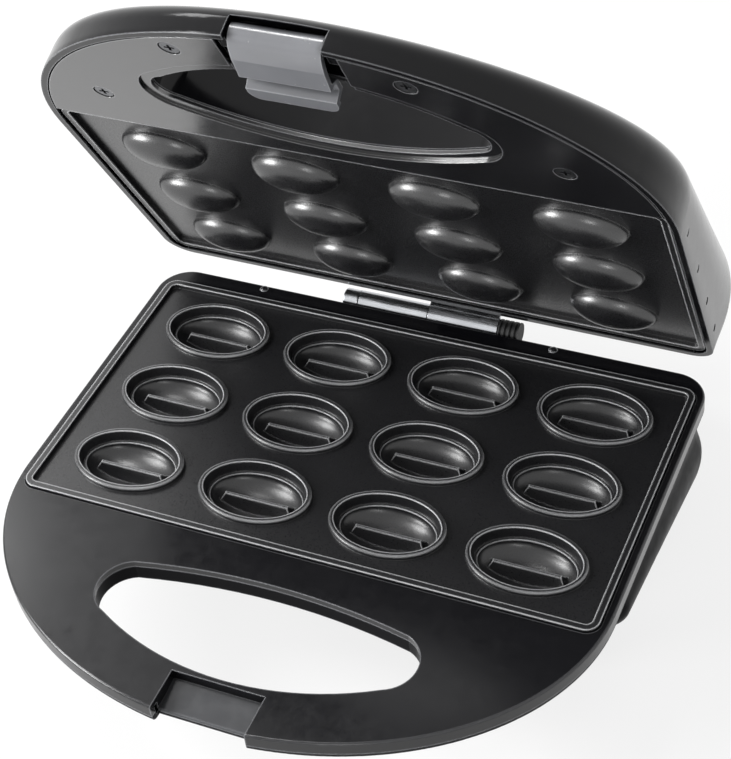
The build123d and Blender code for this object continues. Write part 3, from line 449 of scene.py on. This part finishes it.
class DressMetal(bpy.types.Operator):
    """Finish the hinge, screws, clamps, heaters and reflectors"""
    bl_idname = "cookie_maker.dress_metal"
    bl_label = "Metal parts"

    def execute(self, context):
        finish = context.scene.metal_finish
        zinc = drawn_metal("zinc_plated_sheet", finish.zinc_colour, 0.24, (0.05, 1.0, 1.0))
        screws = drawn_metal("plated_screws", finish.screw_colour, 0.3, (1.0, 1.0, 0.3))
        sheath = drawn_metal("heated_steel_tube", finish.sheath_colour, 0.35, (0.1, 1.0, 1.0))
        sheet = drawn_metal("rolled_aluminium", finish.reflector_colour, 0.2, (0.04, 1.0, 1.0))
        dark = drawn_metal("blackened_screws", finish.dark_screw_colour, 0.35, (1.0, 1.0, 0.3))
        dress(zinc, "hinge_base_leaf", "hinge_lid_leaf", "hinge_pin", "lower_element_clamps",
              "upper_element_clamps")
        dress(dark, "bezel_screws", "base_screws")
        dress(screws, "hinge_base_screws", "hinge_lid_screws", "lower_clamp_screws",
              "upper_clamp_screws", "lower_reflector_screws", "upper_reflector_screws",
              "lower_plate_screws", "upper_plate_screws", "latch_pin")
        dress(sheath, "lower_heating_element", "upper_heating_element")
        dress(sheet, "lower_heat_reflector", "upper_heat_reflector", "lower_thermostat",
              "upper_thermostat", "lower_thermal_fuse")
        return {"FINISHED"}


class DressWiring(bpy.types.Operator):
    """Finish the leads, terminal block, gland and cable sleeve"""
    bl_idname = "cookie_maker.dress_wiring"
    bl_label = "Wiring"

    def execute(self, context):
        dress(woven_sleeve("glass_fibre_braid", linear("#d8d2bf")), "base_leads", "lid_leads")
        dress(dull_moulding("terminal_polyamide", linear("#d9d6cb"), 0.5), "terminal_block")
        dress(dull_moulding("gland_rubber", linear("#161617"), 0.62), "cord_gland",
              "hinge_cable_sleeve")
        return {"FINISHED"}


class DressFeet(bpy.types.Operator):
    """Finish the rubber feet"""
    bl_idname = "cookie_maker.dress_feet"
    bl_label = "Feet"

    def execute(self, context):
        dress(dull_moulding("foot_rubber", linear("#1a1a1b"), 0.7), "front_feet", "rear_feet")
        return {"FINISHED"}


def make_piece(name, form, material, body):
    """Turn a bmesh into a finished piece that rides on a body."""
    bmesh.ops.recalc_face_normals(form, faces=form.faces)
    mesh = bpy.data.meshes.new(name)
    form.to_mesh(mesh)
    form.free()
    mesh.materials.append(material)
    piece = bpy.data.objects.new(name, mesh)
    bpy.context.scene.collection.objects.link(piece)
    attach(piece, body)


def seat_on(node, start, along):
    """Place on a node's skin that a line meets, with Z out of the skin."""
    met, place, normal, _ = frame["nodes"][node].ray_cast(start, along)
    if not met:
        raise RuntimeError("nothing of " + node + " on this line")
    return Matrix.Translation(place) @ normal.to_track_quat("Z", "Y").to_matrix().to_4x4()


class AddLampRings(bpy.types.Operator):
    """Add a trim ring round each lamp in the lid"""
    bl_idname = "cookie_maker.add_lamp_rings"
    bl_label = "Lamp rings"

    def execute(self, context):
        trim = context.scene.trim_pieces
        material = drawn_metal("ring_chrome", linear("#cfd0d3"), 0.14, (1.0, 1.0, 0.1))
        out = Vector((0.0, sin(LID_OPEN), cos(LID_OPEN)))
        for name in ("power_lamp_lens", "ready_lamp_lens"):
            low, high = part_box(name)
            centre = HINGE + Vector((
                (low.x + high.x) / 2, -trim.lamp_reach * cos(LID_OPEN),
                trim.lamp_reach * sin(LID_OPEN)))
            beside = Vector((2 * trim.ring_radius, 0, 0))
            seat = seat_on("lid_shell", centre + beside + out * ABOVE_LID, -out)
            seat.translation = centre + out * (seat.translation - centre).dot(out)
            form = bmesh.new()
            bmesh.ops.create_circle(form, segments=12, radius=trim.ring_thickness)
            bmesh.ops.rotate(form, verts=form.verts, matrix=Matrix.Rotation(radians(90), 3, "X"))
            bmesh.ops.translate(form, verts=form.verts, vec=(trim.ring_radius, 0, 0))
            bmesh.ops.spin(form, geom=form.verts[:] + form.edges[:], cent=(0, 0, 0),
                           axis=(0, 0, 1), angle=radians(360), steps=48, use_merge=True)
            bmesh.ops.transform(form, verts=form.verts, matrix=seat)
            for face in form.faces:
                face.smooth = True
            make_piece(name.replace("lens", "ring"), form, material, "lid")
        return {"FINISHED"}


class AddRatingPlate(bpy.types.Operator):
    """Add the bare foil plate under the base"""
    bl_idname = "cookie_maker.add_rating_plate"
    bl_label = "Rating plate"

    def execute(self, context):
        trim = context.scene.trim_pieces
        seat = seat_on("base_shell", Vector((trim.plate_x, trim.plate_y, UNDER_TABLE)),
                       Vector((0, 0, 1)))
        form = bmesh.new()
        bmesh.ops.create_cube(form, size=1.0)
        bmesh.ops.scale(form, verts=form.verts, vec=(
            trim.plate_length, trim.plate_width, trim.plate_thickness))
        corners = [edge for edge in form.edges
                   if abs(edge.verts[0].co.z - edge.verts[1].co.z) > trim.plate_thickness / 2]
        bmesh.ops.bevel(form, geom=corners, offset=trim.plate_corner, affect="EDGES",
                        segments=6, profile=0.5, material=-1)
        outer = max(form.faces, key=lambda face: face.calc_center_median().z + face.calc_area())
        bmesh.ops.inset_individual(form, faces=[outer], thickness=trim.plate_rim,
                                   depth=-0.3 * trim.plate_thickness)
        bmesh.ops.transform(form, verts=form.verts, matrix=seat)
        material = drawn_metal("plate_foil", linear("#b9bbbd"), 0.3, (0.03, 1.0, 1.0))
        make_piece("rating_plate", form, material, "base")
        return {"FINISHED"}


class DressLamps(bpy.types.Operator):
    """Finish the two lamps in the lid"""
    bl_idname = "cookie_maker.dress_lamps"
    bl_label = "Lamps"

    def execute(self, context):
        dress(lamp_plastic("red_acrylic", linear("#c2180f")), "power_lamp_lens")
        dress(lamp_plastic("green_acrylic", linear("#1b9a3a")), "ready_lamp_lens")
        dress(bulb_glass("bulb_glass"), "lamp_bulbs")
        return {"FINISHED"}


class BuildStage(bpy.types.Operator):
    """Set the floor, the pale surroundings, the lamps and the camera"""
    bl_idname = "cookie_maker.build_stage"
    bl_label = "Stage"

    def execute(self, context):
        studio = context.scene.cookie_studio
        context.scene.view_settings.view_transform = "Standard"
        make_floor(studio)
        make_surroundings(context.scene)
        for place, aim, size, power in LAMPS:
            make_lamp(place, aim, size, power)
        make_camera(context.scene, studio)
        return {"FINISHED"}


def looked_at(tree, rays):
    """High for the rays that show a thing, low for those that gather its light."""
    return add_node(tree, "ShaderNodeMath", {
        0: rays.outputs["Is Camera Ray"], 1: rays.outputs["Is Glossy Ray"]},
        operation="MAXIMUM")


def make_floor(studio):
    """Pale floor that keeps the shadow of what stands on it."""
    mesh = bpy.data.meshes.new("floor")
    form = bmesh.new()
    bmesh.ops.create_grid(form, x_segments=1, y_segments=1, size=studio.floor_size / 2)
    form.to_mesh(mesh)
    form.free()
    floor = bpy.data.objects.new("floor", mesh)
    bpy.context.scene.collection.objects.link(floor)
    material, tree = new_material("pale_floor")
    matte = add_node(tree, "ShaderNodeBsdfDiffuse", {"Color": studio.floor_colour})
    glow = add_node(tree, "ShaderNodeEmission", {"Color": WHITE, "Strength": 1.0})
    seen = looked_at(tree, add_node(tree, "ShaderNodeLightPath"))
    part = add_node(tree, "ShaderNodeMath", {0: seen.outputs[0], 1: FLOOR_GLOW},
                    operation="MULTIPLY")
    shader = add_node(tree, "ShaderNodeMixShader", {
        "Fac": part.outputs[0], 1: matte.outputs[0], 2: glow.outputs[0]})
    close_material(tree, shader)
    mesh.materials.append(material)


def make_surroundings(scene):
    """White where it is looked at, softer where it lights."""
    world = bpy.data.worlds.new("studio")
    world.use_nodes = True
    tree = world.node_tree
    tree.nodes.clear()
    rays = add_node(tree, "ShaderNodeLightPath")
    seen = looked_at(tree, rays)
    clear = add_node(tree, "ShaderNodeMath", {
        0: seen.outputs[0], 1: rays.outputs["Is Transmission Ray"]}, operation="MAXIMUM")
    strength = add_node(tree, "ShaderNodeMapRange", {
        "Value": clear.outputs[0], "To Min": SKY_LIGHT, "To Max": 1.0})
    sky = add_node(tree, "ShaderNodeBackground", {
        "Color": WHITE, "Strength": strength.outputs[0]})
    add_node(tree, "ShaderNodeOutputWorld", {"Surface": sky.outputs[0]})
    scene.world = world


def make_lamp(place, aim, size, power):
    """Square soft lamp that faces its aim."""
    data = bpy.data.lights.new("soft_lamp", "AREA")
    data.size = size
    data.energy = power
    lamp = bpy.data.objects.new("soft_lamp", data)
    lamp.location = place
    lamp.rotation_euler = (Vector(aim) - Vector(place)).to_track_quat("-Z", "Y").to_euler()
    bpy.context.scene.collection.objects.link(lamp)


def make_camera(scene, studio):
    """Camera at the photograph's viewing angle."""
    data = bpy.data.cameras.new("camera")
    data.lens = studio.lens
    data.sensor_width = SENSOR_WIDTH
    camera = bpy.data.objects.new("camera", data)
    turn = (Matrix.Rotation(CAMERA_YAW, 4, "Z")
            @ Matrix.Rotation(radians(90) - CAMERA_DOWN, 4, "X")
            @ Matrix.Rotation(CAMERA_ROLL, 4, "Z"))
    camera.matrix_world = Matrix.Translation(HINGE + CAMERA_FROM_HINGE) @ turn
    scene.collection.objects.link(camera)
    scene.camera = camera


class CookieMakerPanel(bpy.types.Panel):
    """Lists the steps that dress the cookie maker"""
    bl_idname = "VIEW3D_PT_cookie_maker"
    bl_label = "Cookie maker"
    bl_space_type = "VIEW_3D"
    bl_region_type = "UI"
    bl_category = "Cookie maker"

    def draw(self, context):
        for step in STEPS:
            self.layout.operator(step.bl_idname)
        for group in SETTINGS:
            box = self.layout.box()
            settings = getattr(context.scene, group)
            for name in settings.bl_rna.properties.keys():
                if name not in ("rna_type", "name"):
                    box.prop(settings, name)


STEPS = (DressCasings, DressPlates, DressLatch, DressMetal, DressWiring, DressFeet, DressLamps,
         AddLampRings, AddRatingPlate, BuildStage)
SETTINGS = {"casing_finish": CasingFinish, "plate_finish": PlateFinish,
            "metal_finish": MetalFinish, "trim_pieces": TrimSizes,
            "cookie_studio": StudioSettings}


def register():
    for group in SETTINGS.values():
        bpy.utils.register_class(group)
    for name, group in SETTINGS.items():
        setattr(bpy.types.Scene, name, bpy.props.PointerProperty(type=group))
    for step in STEPS:
        bpy.utils.register_class(step)
    bpy.utils.register_class(CookieMakerPanel)


def unregister():
    bpy.utils.unregister_class(CookieMakerPanel)
    for step in reversed(STEPS):
        bpy.utils.unregister_class(step)
    for name, group in SETTINGS.items():
        delattr(bpy.types.Scene, name)
        bpy.utils.unregister_class(group)


def main():
    register()
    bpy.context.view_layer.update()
    for step in STEPS:
        getattr(bpy.ops.cookie_maker, step.bl_idname.split(".")[1])()


if __name__ == "__main__":
    main()
